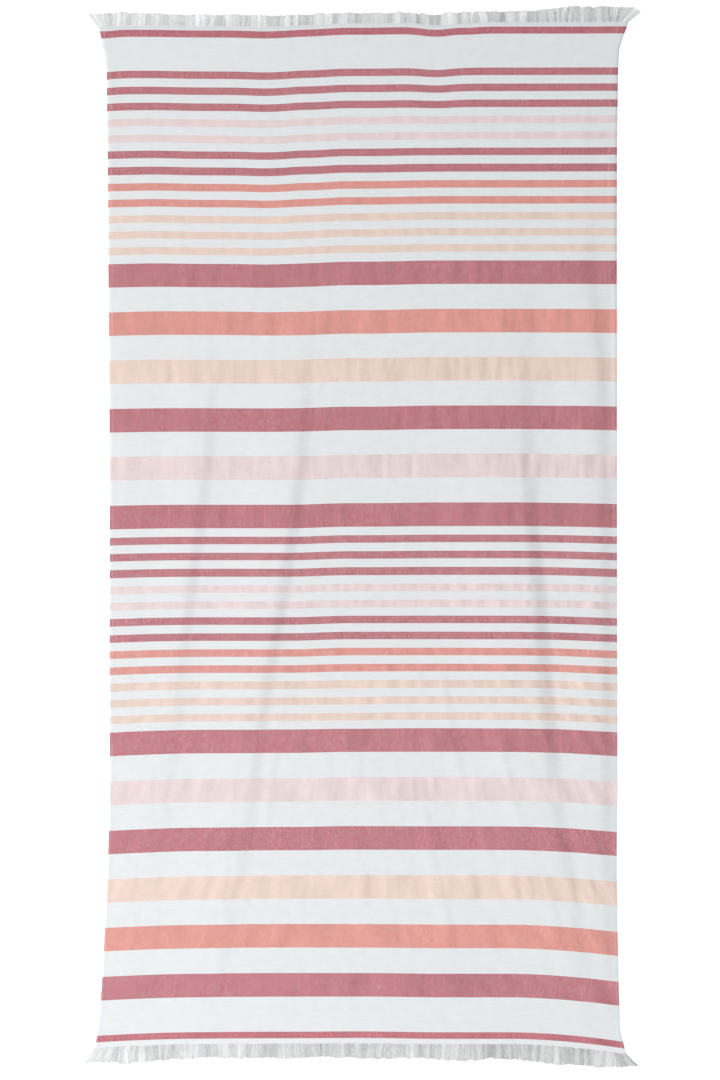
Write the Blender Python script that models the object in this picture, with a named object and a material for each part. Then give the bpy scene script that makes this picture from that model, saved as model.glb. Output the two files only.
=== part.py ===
"""A hammam towel of flat-woven striped cotton, laid out flat with its warp ends left as fringes.

The towel lies on the XY plane, in metres: +X runs to its right, +Y to its top fringe and +Z up.
Its pieces are the cloth, with both side hems turned on it, and a fringe at each end, whose locks
grow out of a narrow header that lies against the end of the cloth.

A place on the cloth is given by u, where its warp thread crosses the middle of the towel, and v,
its distance along the towel from the middle. The threads fan out towards the ends.
"""

import math
import random

import bmesh
import bpy
import numpy as np
from mathutils import Vector

# Driving dimensions
CLOTH_LENGTH = 1.7315       # between the two headers, along the middle
CLOTH_THICKNESS = 0.0015
HEM_WIDTH = 0.0075          # the turned hem along each side
HEM_THICKNESS = 0.0024
HEM_STEP = 0.0008           # the slope down from the hem to the single cloth
HEADER_DEPTH = 0.0030       # the strip that the fringe's locks grow from
HEADER_GAP = 0.0003
LOCKS_PER_END = 100
LOCK_SHARE = 0.66           # of the pitch between two locks, at their roots
LOCK_LENGTH_SPREAD = 0.14   # as a share of the length, either way
LOCK_LEAN_SPREAD = math.radians(6)
FRINGE_SEED = 7

HALF_LENGTH = CLOTH_LENGTH / 2

# Where the side edges lie: v, then x of the left and the right edge
EDGES = (
    (0.8657, -0.4556, 0.4522),
    (0.8555, -0.4505, 0.4471),
    (0.8402, -0.4480, 0.4403),
    (0.8232, -0.4437, 0.4357),
    (0.7977, -0.4403, 0.4335),
    (0.7382, -0.4378, 0.4327),
    (0.4660, -0.4344, 0.4327),
    (0.1010, -0.4327, 0.4310),
    (-0.5540, -0.4327, 0.4310),
    (-0.6900, -0.4420, 0.4335),
    (-0.7920, -0.4463, 0.4361),
    (-0.8340, -0.4475, 0.4395),
    (-0.8500, -0.4531, 0.4454),
    (-0.8657, -0.4582, 0.4488),
)

# The soft folds. Each runs along a line, given by its x at each of these v, and has a height there.
# The cloth rises to the fold's crest from its left over "rise", then drops to its right over "fall".
FOLD_ROWS = (0.866, 0.500, 0.313, 0.101, -0.095, -0.299, -0.503, -0.681, -0.866)
FOLDS = {
    "outer_left": {
        "line": (-0.254, -0.254, -0.256, -0.266, -0.292, -0.314, -0.337, -0.366, -0.387),
        "height": (0, 0, 0.0006, 0.0032, 0.0032, 0.0016, 0.0006, 0, 0),
        "rise": 0.075,
        "fall": 0.026,
    },
    "inner_left": {
        "line": (-0.098, -0.095, -0.094, -0.108, -0.135, -0.169, -0.195, -0.232, -0.270),
        "height": (0, 0, 0.0010, 0.0042, 0.0046, 0.0042, 0.0030, 0.0020, 0),
        "rise": 0.110,
        "fall": 0.028,
    },
    "middle": {
        "line": (0.008, 0.008, 0.009, 0.009, 0.004, -0.004, -0.011, -0.013, -0.013),
        "height": (0, 0, 0, 0, 0, 0, 0, 0, 0),
        "rise": 0.050,
        "fall": 0.050,
    },
    "right": {
        "line": (0.283, 0.280, 0.278, 0.281, 0.297, 0.314, 0.337, 0.369, 0.384),
        "height": (0, 0, 0.0014, 0.0052, 0.0066, 0.0066, 0.0042, 0.0024, 0),
        "rise": 0.170,
        "fall": 0.034,
    },
    "right_edge": {
        "line": (0.400, 0.385, 0.402, 0.411, 0.415, 0.415, 0.415, 0.419, 0.430),
        "height": (0, 0.0012, 0.0036, 0.0036, 0.0036, 0.0036, 0.0032, 0.0022, 0),
        "rise": 0.085,
        "fall": 0.028,
    },
}
MIDDLE_ROW = 3              # the one of FOLD_ROWS that u is read at

# How far the weft threads droop towards the bottom: v, then the droop over the left side, the more
# at the left edge, the droop over the right side and the more at the right edge
DROOP = (
    (0.8555, 0.0048, -0.0017, -0.0019, -0.0003),
    (0.5680, 0.0046, 0, -0.0019, -0.0003),
    (0.3640, 0.0032, 0.0009, -0.0022, 0.0010),
    (0.0340, 0.0026, 0.0020, -0.0012, 0.0030),
    (-0.1980, 0.0025, 0.0037, 0, 0.0054),
    (-0.3500, 0.0020, 0.0049, 0, 0.0073),
    (-0.5160, 0.0012, 0.0054, 0.0003, 0.0102),
    (-0.6810, -0.0002, 0.0048, 0.0009, 0.0128),
    (-0.8500, 0.0005, 0.0049, 0.0015, 0.0146),
)
LEFT_SIDE = (-0.125, -0.023)    # x where the droop over the left side starts to end, and ends
LEFT_BORDER = (-0.295, -0.431)  # x where the more at the left edge starts, and the edge
RIGHT_SIDE = (0.003, 0.130)
RIGHT_BORDER = (0.250, 0.431)
BORDER_POWER = 1.8
DIMPLE_X = 0.130                # a small dip in the top border
DIMPLE_DEPTH = 0.0037
DIMPLE_WIDTH = 0.030
DIMPLE_REACH = 0.120            # along the towel, from its top

# The mesh's columns are closer together on a fold, and its rows near the ends
HEM_COLUMNS = 2
COLUMNS = 56
FOLD_DENSITY = 2.4
FOLD_REACH = 0.026
DENSITY_SAMPLES = 2001
ROWS = 34
ROWS_TO_ENDS = 0.75

# Each fringe: which end, lock length at its middle and at its corners, and how far the locks at its
# left and right corner lean outwards
FRINGES = {
    "fringe_top": {"end": 1, "middle": 0.0215, "corner": 0.0275, "left": 30, "right": 46},
    "fringe_bottom": {"end": -1, "middle": 0.0265, "corner": 0.0275, "left": 34, "right": 46},
}
CORNER_FROM = 0.405         # x from which the locks lean outwards
CORNER_TO = 0.450
# A lock's sections: how far along it, and its width and height there as shares of those at its root
LOCK_SECTIONS = ((0.5, 0.88, 0.90), (1.0, 0.42, 0.62))

CLOTH_COLOUR = (0.71, 0.59, 0.60, 1)
FRINGE_COLOUR = (0.74, 0.74, 0.74, 1)
COTTON_ROUGHNESS = 0.92


def clear_scene():
    for item in list(bpy.data.objects):
        bpy.data.objects.remove(item, do_unlink=True)


def cotton(name, colour):
    material = bpy.data.materials.new(name)
    material.use_nodes = True
    shader = material.node_tree.nodes["Principled BSDF"]
    shader.inputs["Base Color"].default_value = colour
    shader.inputs["Roughness"].default_value = COTTON_ROUGHNESS
    shader.inputs["Metallic"].default_value = 0
    return material


def curve_through(at, places, values):
    """A cubic through the points, whose slope at each point follows from its neighbours."""
    places = np.asarray(places, float)
    values = np.asarray(values, float)
    if places[0] > places[-1]:
        places = places[::-1]
        values = values[::-1]
    slopes = np.gradient(values, places)
    at = np.clip(at, places[0], places[-1])
    left = np.clip(np.searchsorted(places, at) - 1, 0, len(places) - 2)
    span = places[left + 1] - places[left]
    t = (at - places[left]) / span
    keep = (1 + 2 * t) * (1 - t) ** 2
    rise = t * (1 - t) ** 2 * span
    fall = t ** 2 * (t - 1) * span
    ends = keep * values[left] + (1 - keep) * values[left + 1]
    return ends + rise * slopes[left] + fall * slopes[left + 1]


def column_of(table, number, v):
    return curve_through(v, [row[0] for row in table], [row[number] for row in table])


def ease(value, start, stop):
    """0 at start and 1 at stop, level at both."""
    t = np.clip((value - start) / (stop - start), 0, 1)
    return t * t * (3 - 2 * t)


def fold_line(fold, v):
    return curve_through(v, FOLD_ROWS, fold["line"])


def fan_out(u, v):
    """x of the warp thread u at v, between the edges and the lines of the folds."""
    marks = [column_of(EDGES, 1, 0.0)]
    lines = [column_of(EDGES, 1, v)]
    for fold in FOLDS.values():
        marks.append(fold["line"][MIDDLE_ROW])
        lines.append(fold_line(fold, v))
    marks.append(column_of(EDGES, 2, 0.0))
    lines.append(column_of(EDGES, 2, v))
    x = lines[0]
    for place in range(len(marks) - 1):
        share = np.clip((u - marks[place]) / (marks[place + 1] - marks[place]), 0, 1)
        x = x + share * (lines[place + 1] - lines[place])
    return x


def relief(x, v):
    """Height of the cloth's underside over the floor."""
    height = 0.0
    for fold in FOLDS.values():
        crest = fold_line(fold, v) - fold["fall"] / 2
        climb = ease(x, crest - fold["rise"], crest)
        drop = ease(x, crest, crest + fold["fall"])
        tall = np.maximum(curve_through(v, FOLD_ROWS, fold["height"]), 0)
        height = height + tall * (climb - drop)
    return height


def droop(x, v):
    """How far the weft thread at v lies below v."""
    over_left = column_of(DROOP, 1, v) * (1 - ease(x, *LEFT_SIDE))
    left_edge = column_of(DROOP, 2, v) * np.clip(
        (x - LEFT_BORDER[0]) / (LEFT_BORDER[1] - LEFT_BORDER[0]), 0, None) ** BORDER_POWER
    over_right = column_of(DROOP, 3, v) * ease(x, *RIGHT_SIDE)
    right_edge = column_of(DROOP, 4, v) * np.clip(
        (x - RIGHT_BORDER[0]) / (RIGHT_BORDER[1] - RIGHT_BORDER[0]), 0, None) ** BORDER_POWER
    dimple = DIMPLE_DEPTH * np.exp(-((x - DIMPLE_X) / DIMPLE_WIDTH) ** 2)
    dimple = dimple * ease(v, HALF_LENGTH - DIMPLE_REACH, HALF_LENGTH)
    return over_left + left_edge + over_right + right_edge + dimple


def lie(u, v):
    """Where the place u, v of the cloth's underside lies."""
    x = fan_out(u, v)
    return x, v - droop(x, v), relief(x, v)


def cloth_columns():
    """The u of the mesh's columns, with one at each side of both hems' steps."""
    left = float(column_of(EDGES, 1, 0.0))
    right = float(column_of(EDGES, 2, 0.0))
    hem = HEM_WIDTH + HEM_STEP
    u = np.linspace(left + hem, right - hem, DENSITY_SAMPLES)
    density = np.ones_like(u)
    for fold in FOLDS.values():
        if max(fold["height"]) > 0:
            place = fold["line"][MIDDLE_ROW]
            density += FOLD_DENSITY * np.exp(-((u - place) / FOLD_REACH) ** 2)
    total = np.cumsum(density)
    inner = np.interp(np.linspace(total[0], total[-1], COLUMNS + 1), total, u)
    return np.concatenate(([left, left + HEM_WIDTH], inner, [right - HEM_WIDTH, right]))


def cloth_rows():
    """The v of the mesh's rows, closer together towards both ends."""
    even = np.linspace(-1, 1, ROWS + 1)
    crowded = np.sin(even * math.pi / 2)
    return HALF_LENGTH * (ROWS_TO_ENDS * crowded + (1 - ROWS_TO_ENDS) * even)


def make_cloth():
    columns = cloth_columns()
    rows = cloth_rows()
    mesh = bpy.data.meshes.new("cloth")
    bm = bmesh.new()
    bmesh.ops.create_grid(bm, x_segments=len(columns) - 1, y_segments=len(rows) - 1, size=1)
    weights = bm.verts.layers.deform.verify()
    single = CLOTH_THICKNESS / HEM_THICKNESS
    for vert in bm.verts:
        column = round((vert.co.x + 1) / 2 * (len(columns) - 1))
        row = round((vert.co.y + 1) / 2 * (len(rows) - 1))
        on_hem = min(column, len(columns) - 1 - column) < HEM_COLUMNS
        vert.co = lie(columns[column], rows[row])
        vert[weights][0] = 1.0 if on_hem else single
    bm.to_mesh(mesh)
    bm.free()
    cloth = bpy.data.objects.new("cloth", mesh)
    bpy.context.collection.objects.link(cloth)
    layers = cloth.vertex_groups.new(name="layers")
    solidify = cloth.modifiers.new("thickness", "SOLIDIFY")
    solidify.thickness = HEM_THICKNESS
    solidify.offset = 1
    solidify.vertex_group = layers.name
    mesh.shade_smooth()
    mesh.materials.append(cotton("cloth", CLOTH_COLOUR))
    return cloth


def header_marks(left, right):
    """The x of the header's cell borders: a lock, a gap, a lock and so on to the last lock."""
    pitch = (right - left) / (LOCKS_PER_END - 1 + LOCK_SHARE)
    marks = []
    for lock in range(LOCKS_PER_END):
        marks.append(left + lock * pitch)
        marks.append(left + (lock + LOCK_SHARE) * pitch)
    return np.array(marks)


def header(bm, fringe):
    """The closed strip along the end of the cloth. Its outer faces that bear locks are returned."""
    end = fringe["end"]
    cloth_x, cloth_y = lie(cloth_columns(), end * HALF_LENGTH)[:2]
    x = header_marks(cloth_x[0], cloth_x[-1])
    inner = np.interp(x, cloth_x, cloth_y) + end * HEADER_GAP
    outer = inner + end * HEADER_DEPTH
    rings = []
    for place in range(len(x)):
        ring = []
        for depth, height in ((inner, 0), (outer, 0), (outer, CLOTH_THICKNESS), (inner, CLOTH_THICKNESS)):
            ring.append(bm.verts.new((x[place], depth[place], height)))
        rings.append(ring)
    bearing = []
    for place in range(len(rings) - 1):
        near = rings[place]
        far = rings[place + 1]
        for corner in range(4):
            following = (corner + 1) % 4
            face = bm.faces.new((near[corner], near[following], far[following], far[corner]))
            if corner == 1 and place % 2 == 0:
                bearing.append(face)
    bm.faces.new(reversed(rings[0]))
    bm.faces.new(rings[-1])
    if end < 0:
        bmesh.ops.reverse_faces(bm, faces=bm.faces)
    return bearing


def lock_lean(x, fringe):
    """How far a lock at x leans to the right, from the way straight out of the towel."""
    corner = ease(abs(x), CORNER_FROM, CORNER_TO)
    outwards = fringe["right"] if x > 0 else -fringe["left"]
    return math.radians(outwards) * float(corner)


def grow_lock(bm, face, fringe, chance):
    root = face.calc_center_median()
    half_width = max(abs(vert.co.x - root.x) for vert in face.verts)
    corner = float(ease(abs(root.x), CORNER_FROM, CORNER_TO))
    length = fringe["middle"] + (fringe["corner"] - fringe["middle"]) * corner
    length *= 1 + LOCK_LENGTH_SPREAD * chance.uniform(-1, 1)
    lean = lock_lean(root.x, fringe) + LOCK_LEAN_SPREAD * chance.uniform(-1, 1)
    along = Vector((math.sin(lean), fringe["end"] * math.cos(lean), 0))
    aside = Vector((math.cos(lean), -fringe["end"] * math.sin(lean), 0))
    foot = Vector((root.x, root.y, 0))
    for reach, width, height in LOCK_SECTIONS:
        face = bmesh.ops.extrude_discrete_faces(bm, faces=[face])["faces"][0]
        middle = face.calc_center_median().x
        for vert in face.verts:
            side = 1 if vert.co.x > middle else -1
            top = CLOTH_THICKNESS * height if vert.co.z > 0 else 0
            vert.co = foot + along * length * reach + aside * side * half_width * width
            vert.co.z = top


def make_fringe(name, fringe, material):
    chance = random.Random(FRINGE_SEED + fringe["end"])
    mesh = bpy.data.meshes.new(name)
    bm = bmesh.new()
    for face in header(bm, fringe):
        grow_lock(bm, face, fringe, chance)
    bm.to_mesh(mesh)
    bm.free()
    mesh.materials.append(material)
    item = bpy.data.objects.new(name, mesh)
    bpy.context.collection.objects.link(item)
    return item


def stand_on_origin(pieces):
    """Moves the towel so that the middle of its box's base is the origin."""
    bpy.context.view_layer.update()
    depsgraph = bpy.context.evaluated_depsgraph_get()
    corners = []
    for piece in pieces:
        evaluated = piece.evaluated_get(depsgraph)
        mesh = evaluated.to_mesh()
        places = np.empty(len(mesh.vertices) * 3)
        mesh.vertices.foreach_get("co", places)
        evaluated.to_mesh_clear()
        places = places.reshape(-1, 3)
        corners += [places.min(axis=0), places.max(axis=0)]
    low = np.min(corners, axis=0)
    high = np.max(corners, axis=0)
    for piece in pieces:
        piece.location = (-(low[0] + high[0]) / 2, -(low[1] + high[1]) / 2, -low[2])


def main():
    clear_scene()
    pieces = [make_cloth()]
    yarn = cotton("fringe", FRINGE_COLOUR)
    for name, fringe in FRINGES.items():
        pieces.append(make_fringe(name, fringe, yarn))
    stand_on_origin(pieces)


main()
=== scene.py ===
"""A striped hammam towel laid out flat, written as a Blender add-on and run as a script.

It dresses the towel's solids. A woven sheet with its folds, creases and ripples stands for the cloth,
a row of stitches runs along each side hem, and loose warp yarns stand for the locks of the fringes.

All sizes are in metres. +X runs to the towel's right, +Y to its top fringe and +Z up. A place on the
cloth is given by u, where its warp thread crosses the middle of the towel, and v, its distance along
the towel from the middle. The warp threads fan out towards the ends.
"""

import math

import bpy
import numpy as np
from bpy.props import FloatProperty, FloatVectorProperty, IntProperty, PointerProperty
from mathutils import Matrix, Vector


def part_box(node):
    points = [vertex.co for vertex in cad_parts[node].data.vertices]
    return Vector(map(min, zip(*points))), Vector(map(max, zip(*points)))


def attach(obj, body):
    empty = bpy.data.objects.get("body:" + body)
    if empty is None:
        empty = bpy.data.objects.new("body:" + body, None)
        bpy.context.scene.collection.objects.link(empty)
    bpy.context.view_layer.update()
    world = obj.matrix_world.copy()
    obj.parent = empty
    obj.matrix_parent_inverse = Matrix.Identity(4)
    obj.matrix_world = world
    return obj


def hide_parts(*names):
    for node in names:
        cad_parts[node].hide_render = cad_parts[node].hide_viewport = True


bl_info = {
    "name": "Striped Hammam Towel",
    "version": (1, 0, 0),
    "blender": (4, 5, 0),
    "location": "3D View > Sidebar > Towel",
    "description": "Weaves a striped cotton towel, hems it and frays its ends",
    "category": "Object",
}

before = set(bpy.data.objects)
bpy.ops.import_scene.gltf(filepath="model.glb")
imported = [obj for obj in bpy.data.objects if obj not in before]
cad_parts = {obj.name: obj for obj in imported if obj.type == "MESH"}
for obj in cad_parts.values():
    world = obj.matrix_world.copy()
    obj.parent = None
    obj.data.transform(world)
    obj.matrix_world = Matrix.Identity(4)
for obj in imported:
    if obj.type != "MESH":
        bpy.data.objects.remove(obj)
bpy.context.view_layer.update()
BODY = "root"

# The cloth's length and lowest corner, as its solid has them
CLOTH_LENGTH = 1.7315  # without the headers of the fringes
HALF_LENGTH = CLOTH_LENGTH / 2
SOLID_CORNER = (-0.4582, -0.8845)  # x and y, as the tables here have them
# The sheet, which runs past that length at both ends
FLAT_WIDTH = 0.900  # as woven
BOTTOM_HEADER = 0.0010
TOP_HEADER = 0.0043
TOP_END = HALF_LENGTH + TOP_HEADER
BOTTOM_END = -HALF_LENGTH - BOTTOM_HEADER

# Where the side edges lie: v, then x of the left and the right edge
EDGES = (
    (0.8657, -0.4520, 0.4508),
    (0.8555, -0.4469, 0.4459),
    (0.8402, -0.4448, 0.4403),
    (0.8232, -0.4408, 0.4353),
    (0.7977, -0.4376, 0.4333),
    (0.7382, -0.4364, 0.4320),
    (0.4660, -0.4340, 0.4304),
    (0.1010, -0.4316, 0.4306),
    (-0.2000, -0.4320, 0.4310),
    (-0.4200, -0.4318, 0.4312),
    (-0.5540, -0.4349, 0.4302),
    (-0.6900, -0.4412, 0.4322),
    (-0.7920, -0.4475, 0.4350),
    (-0.8340, -0.4518, 0.4376),
    (-0.8500, -0.4542, 0.4423),
    (-0.8657, -0.4562, 0.4457),
)

# The soft folds. Each runs along a line, given by its x at each of these v, and has a height there.
# The cloth rises to the fold's crest from its left over "rise", then drops to its right over "fall".
# The middle one has no height here, but its line guides the warp threads.
FOLD_ROWS = (0.866, 0.500, 0.313, 0.101, -0.095, -0.299, -0.503, -0.681, -0.866)
FOLDS = {
    "outer_left": {
        "line": (-0.254, -0.254, -0.256, -0.266, -0.292, -0.314, -0.337, -0.366, -0.387),
        "height": (0, 0, 0.0006, 0.0032, 0.0032, 0.0016, 0.0006, 0, 0),
        "rise": 0.075,
        "fall": 0.026,
    },
    "inner_left": {
        "line": (-0.098, -0.095, -0.094, -0.108, -0.135, -0.169, -0.195, -0.232, -0.270),
        "height": (0, 0, 0.0010, 0.0042, 0.0045, 0.0034, 0.0024, 0.0016, 0),
        "rise": 0.110,
        "fall": 0.028,
    },
    "middle": {
        "line": (0.008, 0.008, 0.009, 0.009, 0.004, -0.004, -0.011, -0.013, -0.013),
        "height": (0, 0, 0, 0, 0, 0, 0, 0, 0),
        "rise": 0.050,
        "fall": 0.050,
    },
    "right": {
        "line": (0.283, 0.280, 0.278, 0.281, 0.297, 0.314, 0.337, 0.369, 0.384),
        "height": (0, 0, 0.0014, 0.0047, 0.0057, 0.0050, 0.0034, 0.0024, 0),
        "rise": 0.170,
        "fall": 0.034,
    },
    "right_edge": {
        "line": (0.400, 0.385, 0.402, 0.411, 0.415, 0.415, 0.415, 0.419, 0.430),
        "height": (0, 0.0012, 0.0036, 0.0036, 0.0035, 0.0032, 0.0027, 0.0018, 0),
        "rise": 0.085,
        "fall": 0.028,
    },
}
MIDDLE_ROW = 3  # the one of FOLD_ROWS, near the middle, where a fold's u is read

# The borders: v, the height of the swell along the left edge, and how far the right edge curls up
BORDERS = (
    (0.700, 0, 0),
    (0.520, 0.0003, 0.0004),
    (0.415, 0.0006, 0.0016),
    (0.330, 0.0008, 0.0019),
    (0.250, 0.0008, 0.0013),
    (0.150, 0.0007, 0.0005),
    (0.060, 0.0007, 0),
    (-0.350, 0.0005, 0),
    (-0.600, 0.0003, 0),
    (-0.780, 0, 0),
)
SWELL = (0.029, 0.120)  # from the left edge, to the swell's crest and to its end
CURL = 0.012  # how wide the part that curls up is
CURL_POWER = 1.4

# How far the weft threads droop towards the bottom: v, then the droop over the left side, the more
# at the left edge, the droop over the right side and the more at the right edge
DROOP = (
    (0.8555, 0.0048, -0.0017, -0.0019, -0.0003),
    (0.5680, 0.0046, 0, -0.0019, -0.0003),
    (0.3640, 0.0032, 0.0009, -0.0022, 0.0010),
    (0.0340, 0.0026, 0.0020, -0.0012, 0.0030),
    (-0.1980, 0.0025, 0.0037, 0, 0.0054),
    (-0.3500, 0.0020, 0.0049, 0, 0.0073),
    (-0.5160, 0.0012, 0.0054, 0.0003, 0.0102),
    (-0.6810, -0.0002, 0.0048, 0.0009, 0.0128),
    (-0.8500, 0.0005, 0.0049, 0.0015, 0.0146),
)
LEFT_SIDE = (-0.125, -0.023)  # x where the droop over the left side starts to end, and ends
LEFT_BORDER = (-0.295, -0.431)  # x where the more at the left edge starts, and the edge
RIGHT_SIDE = (0.003, 0.130)
RIGHT_BORDER = (0.250, 0.431)
BORDER_POWER = 1.8

# Small dips in the weft threads: x and v of the middle of each, its width, its reach along the towel,
# and its depth
DIPS = (
    (0.124, 0.866, 0.034, 0.140, 0.0054),
    (0.181, 0.866, 0.020, 0.050, 0.0016),
    (-0.443, 0.866, 0.024, 0.160, 0.0034),
    (-0.168, 0.780, 0.035, 0.420, 0.0016),
    (-0.355, 0.600, 0.050, 0.300, -0.0014),
    (-0.270, 0.361, 0.110, 0.035, -0.0014),
    (-0.108, 0.700, 0.022, 0.220, -0.0014),
    (-0.360, -0.600, 0.120, 0.330, 0.0021),
    (-0.020, -0.290, 0.060, 0.060, 0.0014),
)

# The small creases: x and v of each one's top end and bottom end, how far its middle bows
# to the right, and its height
CREASES = (
    (-0.363, 0.730, -0.363, 0.480, 0.000, 0.00035),
    (-0.312, 0.610, -0.314, 0.430, 0.002, 0.00030),
    (-0.162, 0.745, -0.160, 0.610, 0.000, 0.00030),
    (-0.064, 0.660, -0.066, 0.450, 0.001, 0.00035),
    (0.004, 0.640, 0.006, 0.430, 0.000, 0.00030),
    (0.088, 0.560, 0.090, 0.380, 0.002, 0.00030),
    (0.198, 0.610, 0.200, 0.420, -0.002, 0.00035),
    (0.385, 0.610, 0.388, 0.420, 0.000, 0.00030),
    (0.128, -0.200, 0.195, -0.530, -0.006, 0.00080),
    (0.216, -0.270, 0.280, -0.540, -0.004, 0.00080),
    (0.095, -0.390, 0.163, -0.720, -0.010, 0.00070),
    (-0.130, -0.260, -0.168, -0.530, -0.006, 0.00070),
    (-0.057, -0.300, -0.060, -0.420, 0.000, 0.00040),
    (-0.003, -0.270, -0.012, -0.470, 0.001, 0.00055),
    (0.300, -0.560, 0.366, -0.780, 0.000, 0.00060),
    (-0.180, -0.560, -0.268, -0.790, 0.006, 0.00060),
)
CREASE_RISE = 0.026
CREASE_FALL = 0.009
CREASE_FADE = 0.30  # of its length, at each end

# The stripes, from the top: v of the middle of a band's first stripe, the pitch, a stripe's width, how
# far the warp stands up between its wefts, the painted light that brightens the lower bands' dyes, how
# unevenly they pull, and their colours. A border is one stripe, with 1 for its pitch.
NARROW = (
    "rose", "rose", "rose", "pink", "pink", "rose", "rose", "coral", "coral", "peach", "peach", "peach",
)
BANDS = (
    (0.8546, 1, 0.0119, 0.52, 1.00, 0.62, ("rose",)),
    (0.7851, 0.02732, 0.0129, 0.72, 1.00, 0.62, NARROW),
    (0.4431, 0.08205, 0.0398, 0.76, 1.00, 1.00, ("rose", "coral", "peach", "rose", "pink", "rose")),
    (-0.0082, 0.02731, 0.0129, 0.84, 1.00, 1.00, NARROW),
    (-0.3499, 0.08316, 0.0401, 0.82, 1.03, 1.00, ("rose", "pink", "rose", "peach", "coral", "rose")),
    (-0.8504, 1, 0.0114, 0.62, 1.07, 1.00, ("rose",)),
)
GROUND_WARP = 0.80  # how far the warp stands up in the white ground

# The fine ripples that the stripes draw up across the cloth: v of the middle of each row of them, and
# their height there
RIPPLE_ROWS = (
    (0.620, 0.00024),
    (0.520, 0.00026),
    (0.444, 0.00026),
    (0.362, 0.00036),
    (0.280, 0.00044),
    (0.198, 0.00030),
    (0.116, 0.00046),
    (0.034, 0.00030),
    (-0.100, 0.00022),
    (-0.250, 0.00040),
    (-0.350, 0.00036),
    (-0.433, 0.00070),
    (-0.516, 0.00040),
    (-0.599, 0.00074),
    (-0.682, 0.00066),
    (-0.765, 0.00044),
)
RIPPLE_REACH = 0.028  # along the towel
RIPPLE_WIDTHS = (0.024, 0.048)
RIPPLE_SPARE = 1.6  # how many are made, as a share of what the narrowest would take
RIPPLE_START = 0.62  # of the flat width, left of the middle
RIPPLE_HEIGHTS = (0.25, 1.3)  # as shares of the row's height
RIPPLE_FADE = 0.08  # along the towel, at both ends, also of the creases
RIPPLE_RISE = 0.74  # the share of a ripple's width that climbs to its crest
RIPPLE_LEAN = 0.8  # how fast the ripples lean outwards with x, at the bottom
RIPPLE_LEAN_FROM = -0.15  # v
RIPPLE_SEED = 4

# The hems' cross-section: the distance in from the edge and the cloth's thickness there, at the left and
# at the right
HEM_SECTION = (
    (0.0000, 0.0005, 0.0007),
    (0.0004, 0.0008, 0.0014),
    (0.0028, 0.0013, 0.0017),
    (0.0056, 0.0017, 0.0018),
    (0.0062, 0.00164, 0.00174),
    (0.0068, 0.0017, 0.0018),
    (0.0090, 0.0017, 0.0018),
    (0.0150, 0.0015, 0.0015),
)
STITCH_LINE = 0.0062  # from the edge
STITCH_POINTS = 6
STITCH_SIDES = 5
STITCH_SUNK = 0.7  # of the thread's diameter, at a stitch's ends
STITCH_TAPER = (0.55, 0.45)  # its thickness at the ends, and what the middle has more
END_TAPER = 0.0016  # of the cloth's thickness, at both ends
SHARP = math.radians(50)  # the cloth's edges are sharp past this angle

# How far each fringe reaches past the cloth: x, then the reach there
TOP_REACH = (
    (-0.455, 0.0278), (-0.390, 0.0250),
    (-0.330, 0.0230), (-0.210, 0.0228),
    (-0.100, 0.0222), (0.020, 0.0208),
    (0.150, 0.0226), (0.270, 0.0227),
    (0.310, 0.0246), (0.335, 0.0290),
    (0.400, 0.0300), (0.436, 0.0302),
    (0.452, 0.0240),
)
BOTTOM_REACH = (
    (-0.458, 0.0272), (-0.390, 0.0302),
    (-0.336, 0.0272), (-0.220, 0.0244),
    (-0.125, 0.0264), (-0.064, 0.0243),
    (0.010, 0.0279), (0.080, 0.0248),
    (0.154, 0.0285), (0.222, 0.0274),
    (0.276, 0.0292), (0.331, 0.0322),
    (0.385, 0.0296), (0.448, 0.0250),
)

# The fringes: which way each one points, v of the cloth's end there, the lean of its first and last
# yarn in degrees, the painted light and shade of its yarns, darker towards the right, and how much
# painted shade darkens the hollows between its tufts, each at the left and at the right, and its reach
FRINGES = {
    "top": {
        "end": 1,
        "from": TOP_END,
        "left": 40,
        "right": 54,
        "tone": (1.05, 0.97),
        "streaks": (0.15, 0.24),
        "reach": TOP_REACH,
    },
    "bottom": {
        "end": -1,
        "from": BOTTOM_END,
        "left": 34,
        "right": 47,
        "tone": (0.945, 0.855),
        "streaks": (0.11, 0.18),
        "reach": BOTTOM_REACH,
    },
}
CORNER_FROM = 0.412  # x from which the yarns lean outwards
CORNER_TO = 0.448  # x from which they have their whole lean
LEAN_MADE_UP = 0.8  # the share of a lean that a longer yarn makes up for
FRINGE_ROOT = 0.0012  # of a yarn inside the cloth
SEED_STEP = 20  # from one fringe to the next

# The noises along a fringe: how many cells go to a tuft, the layer that it is cut from, and its detail
TUFTS = (0.5, 0.0, 2.0)  # a hollow is where this one crosses its mean
TINT = (0.7, 3.3, 2.0)  # painted light and shade, and the reach, of whole tufts
STRANDS = (3.5, 15.7, 1.0)  # fine streaks of painted shade within the tufts
GAPS = (0.55, 12.1, 2.0)  # where some yarns have come out
SWAY_LAYER = 6.7
BEND = (0.6, 0.9, 9.1)  # cells to a tuft and to a yarn's length, and the layer
STRAY = (5.37, 1.3)  # cells from one yarn to the next, and to its length
TUFT_EDGE = 9  # how sharply a hollow ends
TINT_REACH = (0.96, 0.45)  # the reach at a middling tint, and what a stronger one adds
TINT_LIGHT_AND_SHADE = 0.8
STRAND_SHADE = 2.6
GAP_LEVEL = 0.60  # the noise from which yarns are missing
GAP_SLOPE = 6
MOST_MISSING = 0.18  # of the yarns in a gap
SWAY_STRENGTH = 3.5
BEND_ASIDE = 0.012
STRAY_ASIDE = 0.004
TUFT_LIFT = 0.0009  # of a yarn's tip in a tuft
YARN_POINTS = 5
YARN_SIDES = 4
YARN_TAPER = 0.4  # of the yarn's thickness, at its tip

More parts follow.
